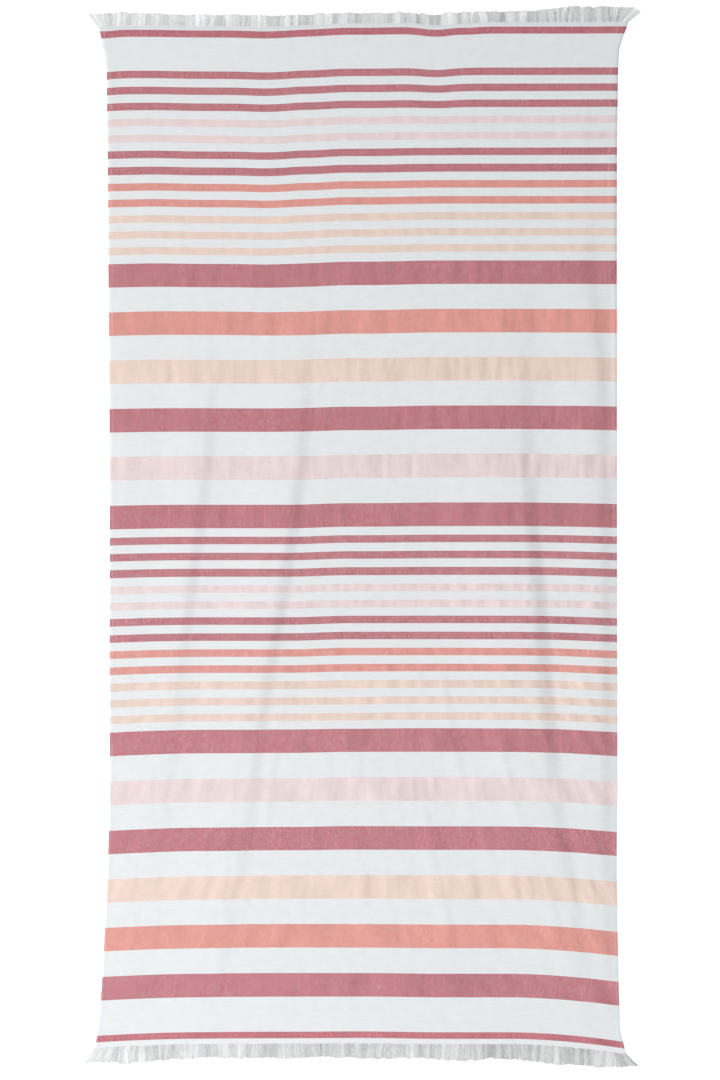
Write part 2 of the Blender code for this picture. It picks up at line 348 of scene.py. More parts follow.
# The lowest and highest of what is drawn for each yarn
INSETS = (0.0, 0.0016)  # of its root, into the cloth
REACHES = (0.90, 1.03)  # as shares of the fringe's reach
LEANS = (-0.10, 0.10)  # in radians
LIFTS = (0.0, 0.0006)  # of its tip
ROOT_HEIGHTS = (0.0006, 0.0016)
TONES = (0.94, 1.05)

# The noises of the weave: a cell's size across and along the towel, and the layer
HEATHER = (0.0045, 0.009, 3.0)
STREAKS = (0.017, 0.10, 11.0)
GRAIN = (0.006, 0.004, 5.0)
WEFT_SLUB = 0.014  # its length
WARP_SLUB = 0.020
WARP_LAYER = 7.0
SLUB_STEP = 1.7  # cells from one thread to the next
BLOTCHES = 60.0  # to the metre
HEATHER_STRENGTH = 1.3
STREAK_STRENGTH = 0.34
STREAK_GROWTH = 1.3  # the streaks' strength in the middle, which grows to the right
GRAIN_STRENGTH = 0.10
FIBRES = (2400, 500, 2400)  # to the metre, on a loose yarn or a thread

# A value that follows another one: what it is where that one is 0, and what is added where it is 1
WEFT_RISE = (0.7, 0.3)
WARP_RISE = (0.2, -0.2)
WEFT_SLUB_TONE = (0.90, 0.20)
WARP_SLUB_TONE = (0.95, 0.10)
BLOTCH_TONE = (0.93, 0.08)
# painted shade where the threads sink between each other, and painted light on their tops
HEIGHT_SHADE = (0.90, 0.14)
WOVEN_ROUGHNESS = (0.86, 0.12)
FIBRE_TONE = (0.90, 0.14)
WASH_TONE = (0.93, 0.10)
LOOSE_ROUGHNESS = (0.84, 0.12)

# The shaders' plain values
COTTON = {"Sheen Weight": 0.08, "Sheen Roughness": 0.6, "Specular IOR Level": 0.2}
FLOOR = {
    "Base Color": (0.96, 0.96, 0.96, 1),
    "Roughness": 0.9,
    "Emission Color": (1, 1, 1, 1),
    "Emission Strength": 0.42,
}

# The mesh of the cloth
COLUMNS = 268
ROWS = 160
BAKE_SPLIT = 0.0064  # v of the cut between the two halves of the map that is baked
ABOVE_SPLIT = 0.012  # v that the lower half's last faces reach past the cut
BAKE_MARGIN = 0.008
PLAN_MAP = "plan"  # in metres, on the cloth laid out flat
BAKE_MAP = "OFBake"

# The stage
FLOOR_HEIGHT = -0.0004
SENSOR = 36  # long side, in millimetres
VIEW_X = -0.00595  # what the camera looks at, as the tables here have it
VIEW_Y = -0.00978


def metres(name, description, default, precision=4):
    """A setting in metres."""
    return FloatProperty(name=name, description=description, default=default, unit="LENGTH",
                         precision=precision)


def dye(name, description, default):
    """A setting for a colour."""
    return FloatVectorProperty(name=name, description=description, default=default, size=3,
                               subtype="COLOR", min=0, max=1)


class TowelCloth(bpy.types.PropertyGroup):
    """Sizes and colours of the woven cloth"""

    thickness: metres("Thickness", "Of the single cloth", 0.0015)
    yarn_pitch: metres("Yarn pitch", "From one thread to the next", 0.0008)
    white: dye("White", "Warp and ground weft", (0.698, 0.722, 0.732))
    rose: dye("Rose", "Weft of the dark stripes", (0.425, 0.102, 0.130))
    coral: dye("Coral", "Weft of the orange stripes", (0.645, 0.228, 0.186))
    peach: dye("Peach", "Weft of the pale orange stripes", (0.728, 0.546, 0.470))
    pink: dye("Pink", "Weft of the pale pink stripes", (0.710, 0.580, 0.572))


class TowelStitches(bpy.types.PropertyGroup):
    """Sizes of the stitches along both side hems"""

    pitch: metres("Stitch pitch", "From one stitch to the next", 0.0030)
    length: metres("Stitch length", "Of the thread that shows", 0.0024)
    thread: metres("Thread", "Diameter of the sewing thread", 0.00045, 5)


class TowelFringes(bpy.types.PropertyGroup):
    """Sizes of the loose warp yarns at both ends"""

    yarns: IntProperty(name="Yarns", description="Loose yarns at each end", default=5200, min=2)
    yarn: metres("Yarn", "Diameter of a loose yarn", 0.00060, 5)
    tuft: metres("Tuft", "Mean width of the tufts that the yarns lie in", 0.012)
    sway: metres("Sway", "Width of a stretch of yarns that lean together", 0.050, 3)
    spread: FloatProperty(
        name="Spread", description="How far the yarns lean to either side", default=math.radians(10),
        subtype="ANGLE")
    colour: dye("Colour", "Of the unwoven warp", (0.79, 0.795, 0.80))


class TowelStage(bpy.types.PropertyGroup):
    """The floor, the light and the camera"""

    floor_size: metres("Floor", "Side of the floor", 14, 2)
    frame_height: metres("Frame height", "Of the picture, measured on the towel", 1.836, 3)
    lens: FloatProperty(name="Lens", description="Focal length in millimetres", default=70)
    key_power: FloatProperty(name="Key light", description="In watts", default=590)
    key_size: metres("Key size", "Side of the lamp", 1.8, 2)
    key_place: FloatVectorProperty(
        name="Key place", description="Where the lamp hangs", default=(-5.15, -2.7, 5.25), size=3,
        subtype="TRANSLATION")
    sky: FloatProperty(name="Sky", description="Strength of the even light all round", default=0.56)


def curve_through(at, places, values):
    """A cubic through the points, whose slope at each point follows from its neighbours."""
    places = np.asarray(places, float)
    values = np.asarray(values, float)
    if places[0] > places[-1]:
        places = places[::-1]
        values = values[::-1]
    slopes = np.gradient(values, places)
    at = np.clip(at, places[0], places[-1])
    left = np.clip(np.searchsorted(places, at) - 1, 0, len(places) - 2)
    span = places[left + 1] - places[left]
    t = (at - places[left]) / span
    keep = (1 + 2 * t) * (1 - t) ** 2
    rise = t * (1 - t) ** 2 * span
    fall = t ** 2 * (t - 1) * span
    ends = keep * values[left] + (1 - keep) * values[left + 1]
    return ends + rise * slopes[left] + fall * slopes[left + 1]


def column_of(table, number, v):
    """The column of that number, at v or whatever the table's first column gives."""
    columns = list(zip(*table))
    return curve_through(v, columns[0], columns[number])


def ease(value, start, stop):
    """0 at start and 1 at stop, level at both."""
    t = np.clip((value - start) / (stop - start), 0, 1)
    return t * t * (3 - 2 * t)


def ridge(x, crest, rise, fall):
    """Climbs from 0 to 1 over rise, up to the crest, and drops back to 0 over fall."""
    return ease(x, crest - rise, crest) - ease(x, crest, crest + fall)


def fold_line(fold, v):
    return curve_through(v, FOLD_ROWS, fold["line"])


# The u of the side edges
LEFT_U = float(column_of(EDGES, 1, 0.0))
RIGHT_U = float(column_of(EDGES, 2, 0.0))


def fan_out(u, v):
    """x of the warp thread u at v, between the edges and the lines of the folds."""
    folds = FOLDS.values()
    marks = [LEFT_U, *(fold["line"][MIDDLE_ROW] for fold in folds), RIGHT_U]
    lines = [column_of(EDGES, 1, v), *(fold_line(fold, v) for fold in folds), column_of(EDGES, 2, v)]
    x = lines[0]
    for place in range(len(marks) - 1):
        share = np.clip((u - marks[place]) / (marks[place + 1] - marks[place]), 0, 1)
        x = x + share * (lines[place + 1] - lines[place])
    return x


def relief(x, v):
    """Height of the cloth's underside over the floor, in its soft folds."""
    height = 0.0
    for fold in FOLDS.values():
        crest = fold_line(fold, v) - fold["fall"] / 2
        tall = np.maximum(curve_through(v, FOLD_ROWS, fold["height"]), 0)
        height = height + tall * ridge(x, crest, fold["rise"], fold["fall"])
    inwards = x - column_of(EDGES, 1, v)
    swell = ease(inwards, 0, SWELL[0]) - ease(inwards, *SWELL)
    curl = np.clip(1 - (column_of(EDGES, 2, v) - x) / CURL, 0, None) ** CURL_POWER
    swollen = np.maximum(column_of(BORDERS, 1, v), 0)
    curled = np.maximum(column_of(BORDERS, 2, v), 0)
    return height + swollen * swell + curled * curl


def past(x, border):
    """0 up to where a border starts, and 1 at the edge."""
    return np.clip((x - border[0]) / (border[1] - border[0]), 0, None) ** BORDER_POWER


def droop(x, v):
    """How far the weft thread at v lies below v."""
    left, more_left, right, more_right = (column_of(DROOP, number, v) for number in (1, 2, 3, 4))
    dips = 0.0
    for middle, row, width, reach, depth in DIPS:
        dips = dips + depth * np.exp(-((x - middle) / width) ** 2 - ((v - row) / reach) ** 2)
    return (left * (1 - ease(x, *LEFT_SIDE)) + more_left * past(x, LEFT_BORDER)
            + right * ease(x, *RIGHT_SIDE) + more_right * past(x, RIGHT_BORDER) + dips)


def creases(x, v):
    """Height of the small creases."""
    height = 0.0
    for top_x, top, bottom_x, bottom, bow, tall in CREASES:
        along = np.clip((top - v) / (top - bottom), 0, 1)
        crest = top_x + (bottom_x - top_x) * along + bow * np.sin(math.pi * along)
        shown = ease(along, 0, CREASE_FADE) * (1 - ease(along, 1 - CREASE_FADE, 1))
        height = height + tall * shown * ridge(x, crest, CREASE_RISE, CREASE_FALL)
    return height


def ripples(x, v):
    """Height of the fine ripples, which lean outwards more and more towards the bottom."""
    chance = np.random.default_rng(RIPPLE_SEED)
    count = int(RIPPLE_SPARE * FLAT_WIDTH / RIPPLE_WIDTHS[0])
    height = 0.0
    for middle, tall in RIPPLE_ROWS:
        widths = chance.uniform(*RIPPLE_WIDTHS, count)
        heights = tall * chance.uniform(*RIPPLE_HEIGHTS, count)
        borders = np.cumsum(widths) - RIPPLE_START * FLAT_WIDTH - chance.uniform(0, RIPPLE_WIDTHS[1])
        lean = RIPPLE_LEAN * x * ease(-middle, -RIPPLE_LEAN_FROM, HALF_LENGTH)
        place = np.interp(x + lean * (v - middle), borders, np.arange(count))
        number = np.floor(place).astype(int)
        share = place - number
        shape = ease(share, 0, RIPPLE_RISE) - ease(share, RIPPLE_RISE, 1)
        height = height + heights[number] * shape * np.exp(-((v - middle) / RIPPLE_REACH) ** 2)
    return height


def hem_thickness(u):
    """Thickness of the cloth, across one or both of its layers."""
    inwards, at_left, at_right = zip(*HEM_SECTION)
    return np.where(u < (LEFT_U + RIGHT_U) / 2,
                    np.interp(u - LEFT_U, inwards, at_left), np.interp(RIGHT_U - u, inwards, at_right))


# How far the towel was moved to stand on the origin
STAND_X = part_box("cloth")[0].x - SOLID_CORNER[0]
STAND_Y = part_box("cloth")[0].y - SOLID_CORNER[1]


def lie(u, v):
    """Where the place u, v of the cloth's underside lies on the floor, and its height."""
    x = fan_out(u, v)
    inner = np.clip(v, -HALF_LENGTH, HALF_LENGTH)
    fade = ease(HALF_LENGTH - np.abs(inner), 0, RIPPLE_FADE)
    height = relief(x, v) + (creases(x, v) + ripples(x, v)) * fade
    return x + STAND_X, v - droop(x, inner) + STAND_Y, height


def cloth_columns():
    """The u of the mesh's columns: those of both hems' sections, and even ones between them."""
    *hem, last = (row[0] for row in HEM_SECTION)
    inner = np.linspace(LEFT_U + last, RIGHT_U - last, COLUMNS + 1)
    return np.concatenate(([LEFT_U + inwards for inwards in hem], inner,
                           [RIGHT_U - inwards for inwards in reversed(hem)]))


def cloth_rows():
    inner = np.linspace(BOTTOM_END + END_TAPER, TOP_END - END_TAPER, ROWS + 1)
    return np.concatenate(([BOTTOM_END], inner, [TOP_END]))


def add_piece(name, mesh):
    piece = bpy.data.objects.new(name, mesh)
    bpy.context.scene.collection.objects.link(piece)
    return piece


def make_plain(piece):
    """Turns what the piece's modifiers make into its own plain mesh, and removes them."""
    bpy.context.view_layer.update()
    depsgraph = bpy.context.evaluated_depsgraph_get()
    evaluated = piece.evaluated_get(depsgraph)
    mesh = bpy.data.meshes.new_from_object(evaluated, preserve_all_data_layers=True, depsgraph=depsgraph)
    piece.modifiers.clear()
    old = piece.data
    piece.data = mesh
    bpy.data.meshes.remove(old)
    mesh.name = piece.name


class Wire:
    """A node's output. Arithmetic on it adds Math nodes to its tree."""

    def __init__(self, tree, socket):
        self.tree = tree
        self.socket = socket

    def math(self, operation, *values):
        settings = {"operation": operation}
        return self.tree.node("ShaderNodeMath", settings, dict(enumerate(values)))["Value"]

    def __add__(self, other):
        return self.math("ADD", self, other)

    def __radd__(self, other):
        return self.math("ADD", other, self)

    def __sub__(self, other):
        return self.math("SUBTRACT", self, other)

    def __rsub__(self, other):
        return self.math("SUBTRACT", other, self)

    def __mul__(self, other):
        return self.math("MULTIPLY", self, other)

    def __rmul__(self, other):
        return self.math("MULTIPLY", other, self)

    def __truediv__(self, other):
        return self.math("DIVIDE", self, other)

    def __lt__(self, other):
        return self.math("LESS_THAN", self, other)

    def __gt__(self, other):
        return self.math("GREATER_THAN", self, other)

    def __abs__(self):
        return self.math("ABSOLUTE", self)

    def floor(self):
        return self.math("FLOOR", self)

    def clamp(self, low, high):
        return self.math("MINIMUM", self.math("MAXIMUM", self, low), high)

    def follow(self, start, gain):
        """start where this value is 0, and start + gain where it is 1."""
        return start + self * gain


class Outputs:
    """A new node's outputs, by name."""

    def __init__(self, tree, node):
        self.tree = tree
        self.node = node

    def __getitem__(self, name):
        return Wire(self.tree, find_socket(self.node.outputs, name))


def find_socket(sockets, name):
    if isinstance(name, int):
        return sockets[name]
    for socket in sockets:
        if socket.enabled and socket.name == name:
            return socket
    raise KeyError(f"no socket is named {name}")


class Tree:
    """A tree of shader or geometry nodes."""

    def __init__(self, tree):
        self.tree = tree

    def node(self, kind, settings=None, sockets=None):
        """Adds a node: its type, its settings, then its sockets' values or wires."""
        node = self.tree.nodes.new(kind)
        for name, value in (settings or {}).items():
            if name == "stops":
                self.set_stops(node.color_ramp, value)
            else:
                setattr(node, name, value)
        for name, value in (sockets or {}).items():
            socket = find_socket(node.inputs, name)
            if isinstance(value, Wire):
                self.tree.links.new(value.socket, socket)
            else:
                socket.default_value = value
        return Outputs(self, node)

    def line(self, start, end, points):
        """A straight curve of that many points."""
        line = self.node("GeometryNodeCurvePrimitiveLine", None, {"Start": start, "End": end})["Curve"]
        return self.node("GeometryNodeResampleCurve", None, {"Curve": line, "Count": points})["Curve"]

    def tube(self, line, radius, diameter, sides):
        """A closed tube along a curve, whose thickness follows the radius."""
        line = self.node("GeometryNodeSetCurveRadius", None, {"Curve": line, "Radius": radius})["Curve"]
        section = self.node("GeometryNodeCurvePrimitiveCircle", None, {
            "Resolution": sides, "Radius": diameter * 0.5})["Curve"]
        return self.node("GeometryNodeCurveToMesh", None, {
            "Curve": line, "Profile Curve": section, "Fill Caps": True})["Mesh"]

    def moved(self, geometry, offset):
        return self.node("GeometryNodeSetPosition", None, {
            "Geometry": geometry, "Offset": offset})["Geometry"]

    def set_stops(self, ramp, stops):
        ramp.interpolation = "CONSTANT"
        while len(ramp.elements) < len(stops):
            ramp.elements.new(1.0)
        for element, (place, colour) in zip(ramp.elements, stops):
            element.position = place
            element.color = (*colour, 1)

    def mix(self, factor, first, second):
        """A colour between two colours."""
        return self.node("ShaderNodeMix", {"data_type": "RGBA"},
                         {"Factor": factor, "A": first, "B": second})["Result"]

    def scaled(self, vector, factor):
        """A colour or vector times a number."""
        return self.node("ShaderNodeVectorMath", {"operation": "SCALE"},
                         {"Vector": vector, "Scale": factor})["Vector"]

    def vector(self, x, y, z=0.0):
        return self.node("ShaderNodeCombineXYZ", None, {"X": x, "Y": y, "Z": z})["Vector"]

    def noise(self, vector, scale=1.0, detail=1.0):
        """A soft random value from 0 to 1."""
        return self.node("ShaderNodeTexNoise", {"noise_dimensions": "3D"},
                         {"Vector": vector, "Scale": scale, "Detail": detail})["Fac"]

    def cells(self, x, y, noise, detail):
        """A soft random value over cells of that size."""
        wide, tall, layer = noise
        return self.noise(self.vector(x / wide, y / tall, layer), detail=detail)

    def dress(self, shader, colour, roughness, bump):
        """Wires a colour, a roughness and a bump to a shader."""
        normal = self.node("ShaderNodeBump", None, bump)["Normal"]
        for name, wire in (("Base Color", colour), ("Roughness", roughness), ("Normal", normal)):
            self.tree.links.new(wire.socket, shader.inputs[name])


def new_material(name, looks):
    """A new material and its shader, which has these values."""
    material = bpy.data.materials.new(name)
    material.use_nodes = True
    shader = material.node_tree.nodes["Principled BSDF"]
    for socket, value in looks.items():
        shader.inputs[socket].default_value = value
    return material, shader


def opaque(colour):
    return (*colour, 1)


def stripes(tree, along, cloth):
    """The weft this far along the towel: its colour, how far the warp stands up, and how it pulls."""
    weft = opaque(cloth.white)
    warp = GROUND_WARP
    pull = 0.0
    for first, pitch, width, shown, painted_light, uneven, yarns in BANDS:
        stops = []
        for number, yarn in enumerate(yarns):
            if number == 0 or yarn != yarns[number - 1]:
                # each dye is scaled by its band's painted light
                stops.append((number / len(yarns), [part * painted_light for part in getattr(cloth, yarn)]))
        steps = (first - along) / pitch
        number = steps.math("ROUND", steps).clamp(0, len(yarns) - 1)
        inside = abs(steps - number) < width / pitch / 2
        if len(stops) == 1:
            colour = opaque(stops[0][1])
        else:
            colour = tree.node("ShaderNodeValToRGB", {"stops": stops},
                               {"Fac": (number + 0.5) / len(yarns)})["Color"]
        weft = tree.mix(inside, weft, colour)
        warp = warp + inside * (shown - GROUND_WARP)
        pull = pull + inside * uneven
    return weft, warp, pull


def woven_cotton(cloth):
    """Plain weave whose wefts hide most of the white warp, with uneven yarns."""
    material, shader = new_material("woven_cotton", COTTON)
    tree = Tree(material.node_tree)
    plan = tree.node("ShaderNodeUVMap", {"uv_map": PLAN_MAP})["UV"]
    split = tree.node("ShaderNodeSeparateXYZ", None, {"Vector": plan})
    across = split["X"]
    along = split["Y"]
    warp = across / cloth.yarn_pitch
    weft = along / cloth.yarn_pitch
    warp_number = warp.floor()
    weft_number = weft.floor()

    # Each thread is round, and the wefts rise and sink as they pass over and under the warp. In the
    # stripes the warp comes through more or less in short streaks, which gives them a heathered look.
    warp_off = (warp - warp_number) * 2 - 1
    weft_off = (weft - weft_number) * 2 - 1
    turn = (warp + weft_number) * math.pi
    lift = turn.math("SINE", turn)
    weft_colour, warp_stands, pull = stripes(tree, (weft_number + 0.5) * cloth.yarn_pitch, cloth)
    heather = tree.cells(across, along, HEATHER, 3.0)
    warp_stands = warp_stands + (heather - 0.5) * HEATHER_STRENGTH
    weft_height = (1 - weft_off * weft_off) * lift.follow(*WEFT_RISE)
    warp_height = (1 - warp_off * warp_off) * lift.follow(*WARP_RISE) * warp_stands
    warp_shows = warp_height > weft_height
    height = weft_height.math("MAXIMUM", weft_height, warp_height)

    # Uneven yarns: slubs along each thread, and blotches where the dye took more or less
    weft_slub = tree.noise(tree.vector(across / WEFT_SLUB, weft_number * SLUB_STEP), detail=2.0)
    warp_slub = tree.noise(
        tree.vector(warp_number * SLUB_STEP, along / WARP_SLUB, WARP_LAYER), detail=2.0)
    blotch = tree.noise(plan, BLOTCHES, 3.0)
    weft_colour = tree.scaled(weft_colour, weft_slub.follow(*WEFT_SLUB_TONE))

    # The dyed wefts pull unevenly, which shades each stripe in streaks along the warp
    below = (along - RIPPLE_LEAN_FROM).clamp(-1, 0)
    leaning = across * (1 + below * RIPPLE_LEAN)
    streaks = (tree.cells(leaning, along, STREAKS, 2.0) - 0.5) * (across / FLAT_WIDTH + STREAK_GROWTH)
    grain = tree.cells(across, along, GRAIN, 2.0) - 0.5
    uneven = (streaks * STREAK_STRENGTH + grain * GRAIN_STRENGTH) * pull
    warp_colour = tree.scaled(tuple(cloth.white), warp_slub.follow(*WARP_SLUB_TONE))
    colour = tree.mix(warp_shows, weft_colour, warp_colour)
    # The weave is darker where its threads sink and lighter on their tops, as painted shade and light
    shade = blotch.follow(*BLOTCH_TONE) * height.follow(*HEIGHT_SHADE) * (1 + uneven)
    tree.dress(shader, tree.scaled(colour, shade), weft_slub.follow(*WOVEN_ROUGHNESS), {
        "Strength": 0.5, "Distance": 0.00022, "Height": height + weft_slub * 0.5 + blotch * 0.4})
    return material


def loose_cotton(name, colour, tone=None):
    """Yarn or thread out of the weave, with fine fibres, uneven colour, and painted light and shade from
    the named attribute when one is given.
    """
    material, shader = new_material(name, COTTON)
    tree = Tree(material.node_tree)
    place = tree.node("ShaderNodeTexCoord")["Object"]
    fibres = tree.noise(tree.node("ShaderNodeVectorMath", {"operation": "MULTIPLY"},
                                  {0: place, 1: FIBRES})["Vector"], detail=2.0)
    wash = tree.noise(place, BLOTCHES, 2.0)
    shade = fibres.follow(*FIBRE_TONE) * wash.follow(*WASH_TONE)
    # the named attribute carries painted light and shade along with each yarn's random brightness
    if tone:
        shade = shade * tree.node("ShaderNodeAttribute", {"attribute_name": tone})["Fac"]
    tree.dress(shader, tree.scaled(tuple(colour), shade), fibres.follow(*LOOSE_ROUGHNESS), {
        "Strength": 0.4, "Distance": 0.0001, "Height": fibres})
    return material


def geometry_tree(name, sizes):
    """A new tree of geometry nodes, its inputs, named by their kinds, and their identifiers."""
    group = bpy.data.node_groups.new(name, "GeometryNodeTree")
    group.interface.new_socket("Geometry", in_out="INPUT", socket_type="NodeSocketGeometry")
    group.interface.new_socket("Geometry", in_out="OUTPUT", socket_type="NodeSocketGeometry")
    keys = {}
    for kind, labels in sizes.items():
        for label in labels:
            socket = group.interface.new_socket(label, in_out="INPUT", socket_type=f"NodeSocket{kind}")
            keys[label] = socket.identifier
    tree = Tree(group)
    return tree, tree.node("NodeGroupInput"), keys


def grow(piece, tree, keys, values):
    """Gives the piece the tree with these values, and makes the result its plain mesh."""
    modifier = piece.modifiers.new(tree.tree.name, "NODES")
    modifier.node_group = tree.tree
    for label, value in values.items():
        modifier[keys[label]] = value
    make_plain(piece)


def end_tree(tree, geometry, material):
    """Ends a tree in plain, smooth faces of that material."""
    real = tree.node("GeometryNodeRealizeInstances", None, {"Geometry": geometry})["Geometry"]
    smooth = tree.node("GeometryNodeSetShadeSmooth", None, {"Geometry": real})["Geometry"]
    done = tree.node("GeometryNodeSetMaterial", None, {"Geometry": smooth, "Material": material})
    tree.node("NodeGroupOutput", None, {"Geometry": done["Geometry"]})


def stitch_tree():
    """Stitches along a line: each bulges up from the cloth and dips into it at both ends."""
    tree, sizes, keys = geometry_tree("stitches", {
        "Float": ("Pitch", "Stitch Length", "Thread"), "Material": ("Material",)})
    line = tree.node("GeometryNodeMeshToCurve", None, {"Mesh": sizes["Geometry"]})["Curve"]
    points = tree.node("GeometryNodeCurveToPoints", {"mode": "LENGTH"},
                       {"Curve": line, "Length": sizes["Pitch"]})
    along = tree.node("FunctionNodeAlignRotationToVector", {"axis": "Y", "pivot_axis": "Z"},
                      {"Vector": points["Tangent"]})["Rotation"]
    half = sizes["Stitch Length"] * 0.5
    thread = tree.line(tree.vector(0.0, half * -1), tree.vector(0.0, half), STITCH_POINTS)
    factor = tree.node("GeometryNodeSplineParameter")["Factor"]
    hump = 4 * factor * (1 - factor)
    thread = tree.moved(thread, tree.vector(0.0, 0.0, sizes["Thread"] * (hump - STITCH_SUNK)))
    stitch = tree.tube(thread, hump.follow(*STITCH_TAPER), sizes["Thread"], STITCH_SIDES)
    stitches = tree.node("GeometryNodeInstanceOnPoints", None, {
        "Points": points["Points"], "Instance": stitch, "Rotation": along})["Instances"]
    end_tree(tree, stitches, sizes["Material"])
    return tree, keys


def fringe_tree():
    """Loose yarns along the end of the cloth, which lie in tufts with hollows between them."""
    tree, sizes, keys = geometry_tree("loose yarns", {
        "Int": ("Yarns", "Seed"), "Float": ("Yarn", "Tuft", "Sway", "Spread", "End"),
        "Material": ("Material",)})

    def random(bounds, seed):
        return tree.node("FunctionNodeRandomValue", {"data_type": "FLOAT"}, {
            "Min": bounds[0], "Max": bounds[1], "ID": number, "Seed": sizes["Seed"] + seed})["Value"]

    def noise(cells, layer, detail):
        return tree.noise(tree.vector(x / sizes["Tuft"] * cells, seed + layer), 1.0, detail)

    def stored(name):
        return tree.node("GeometryNodeInputNamedAttribute", {"data_type": "FLOAT"},
                         {"Name": name})["Attribute"]

    def store(geometry, name, value):
        return tree.node("GeometryNodeStoreNamedAttribute", {"data_type": "FLOAT", "domain": "POINT"}, {
            "Geometry": geometry, "Name": name, "Value": value})["Geometry"]

    line = tree.node("GeometryNodeMeshToCurve", None, {"Mesh": sizes["Geometry"]})["Curve"]
    points = tree.node("GeometryNodeCurveToPoints", {"mode": "COUNT"}, {
        "Curve": line, "Count": sizes["Yarns"]})["Points"]

    # full is 0 in a hollow and 1 in a tuft
    number = tree.node("GeometryNodeInputIndex")["Index"]
    x = tree.node("ShaderNodeSeparateXYZ", None, {
        "Vector": tree.node("GeometryNodeInputPosition")["Position"]})["X"]
    seed = sizes["Seed"] * 1.0
    full = (abs(noise(*TUFTS) - 0.5) * TUFT_EDGE).clamp(0, 1)
    tint = noise(*TINT) - 0.5
    strands = noise(*STRANDS) - 0.5
    gaps = (noise(*GAPS) - GAP_LEVEL) * GAP_SLOPE
    sway = (tree.noise(tree.vector(x / sizes["Sway"], seed + SWAY_LAYER), 1.0, 2.0) - 0.5) * SWAY_STRENGTH

    free = 1 - abs(stored("lean"))
    inset = random(INSETS, 1)
    reach = stored("reach") * random(REACHES, 2) * tint.follow(*TINT_REACH) + inset
    lean = stored("lean") + (sizes["Spread"] * sway + random(LEANS, 3)) * free
    # The hollows between the tufts and the fine streaks in them are darkened with painted shade
    hollow_shade = stored("streaks") * (1 - full - strands * STRAND_SHADE)
    # Whole tufts get painted light and shade, and each yarn a random brightness
    tone = stored("tone") * (1 - hollow_shade) * (1 + tint * TINT_LIGHT_AND_SHADE)
    points = store(points, "place", x)
    points = store(points, "number", number)
    points = store(points, "lift", full * TUFT_LIFT + random(LIFTS, 4))
    points = store(points, "root", random(ROOT_HEIGHTS, 5))
    points = store(points, "tone", tone * random(TONES, 6))
    points = tree.moved(points, tree.vector(0.0, inset * sizes["End"] * -1))
    missing = random((0.0, 1.0), 7) < gaps.clamp(0, MOST_MISSING)
    points = tree.node("GeometryNodeDeleteGeometry", {"domain": "POINT"}, {
        "Geometry": points, "Selection": missing})["Geometry"]

    # A yarn is a line of length 1 along +Y, which is turned and stretched, then bent
    yarn = tree.line((0.0, 0.0, 0.0), (0.0, 1.0, 0.0), YARN_POINTS)
    turn = (1 - sizes["End"]) * (math.pi / 2) - sizes["End"] * lean
    yarns = tree.node("GeometryNodeInstanceOnPoints", None, {
        "Points": points, "Instance": yarn, "Rotation": tree.vector(0.0, 0.0, turn),
        "Scale": tree.vector(1.0, reach, 1.0)})["Instances"]
    yarns = tree.node("GeometryNodeRealizeInstances", None, {"Geometry": yarns})["Geometry"]
    factor = tree.node("GeometryNodeSplineParameter")["Factor"]
    tuft = stored("place") / sizes["Tuft"]
    bend = tree.noise(tree.vector(tuft * BEND[0], factor * BEND[1], seed + BEND[2]))
    stray = tree.noise(tree.vector(stored("number") * STRAY[0], factor * STRAY[1]))
    aside = ((bend - 0.5) * BEND_ASIDE + (stray - 0.5) * STRAY_ASIDE) * factor
    height = stored("root") * (1 - factor) + (stored("lift") + sizes["Yarn"] * 0.5) * factor
    yarns = tree.moved(yarns, tree.vector(aside, 0.0, height))
    mesh = tree.tube(yarns, 1 - factor * YARN_TAPER, sizes["Yarn"], YARN_SIDES)
    end_tree(tree, mesh, sizes["Material"])
    return tree, keys


def line_mesh(name, places):
    """A mesh of one open line through the places."""
    mesh = bpy.data.meshes.new(name)
    edges = [(place, place + 1) for place in range(len(places) - 1)]
    mesh.from_pydata([tuple(place) for place in places], edges, [])
    return mesh


def fringe_line(name, fringe):
    """The line that a fringe's yarns start from, with their lean, reach and painted light and shade along
    it.
    """
    start = fringe["from"] - fringe["end"] * FRINGE_ROOT
    edge = cloth_columns()
    inset = HEM_SECTION[1][0]
    u = np.linspace(edge[0] + inset, edge[-1] - inset, COLUMNS)
    own_x = fan_out(u, fringe["end"] * HALF_LENGTH)
    x, y, height = lie(u, start)
    mesh = line_mesh(name, np.stack([x, y, height * 0], axis=1))
    corner = ease(np.abs(own_x), CORNER_FROM, CORNER_TO)
    outwards = np.where(own_x > 0, fringe["right"], -fringe["left"])
    lean = np.radians(outwards) * corner
    reach = column_of(fringe["reach"], 1, own_x) + HALF_LENGTH - abs(start)
    share = (own_x - own_x[0]) / (own_x[-1] - own_x[0])
    along = {
        "lean": lean,
        "reach": reach / np.cos(lean * LEAN_MADE_UP),
        # painted shade that darkens the fringe towards the right
        "tone": np.interp(share, (0, 1), fringe["tone"]),
        # how deep the painted shade in the hollows is
        "streaks": np.interp(share, (0, 1), fringe["streaks"]),
    }
    for label, values in along.items():
        mesh.attributes.new(label, "FLOAT", "POINT").data.foreach_set("value", values.astype(np.float32))
    return mesh


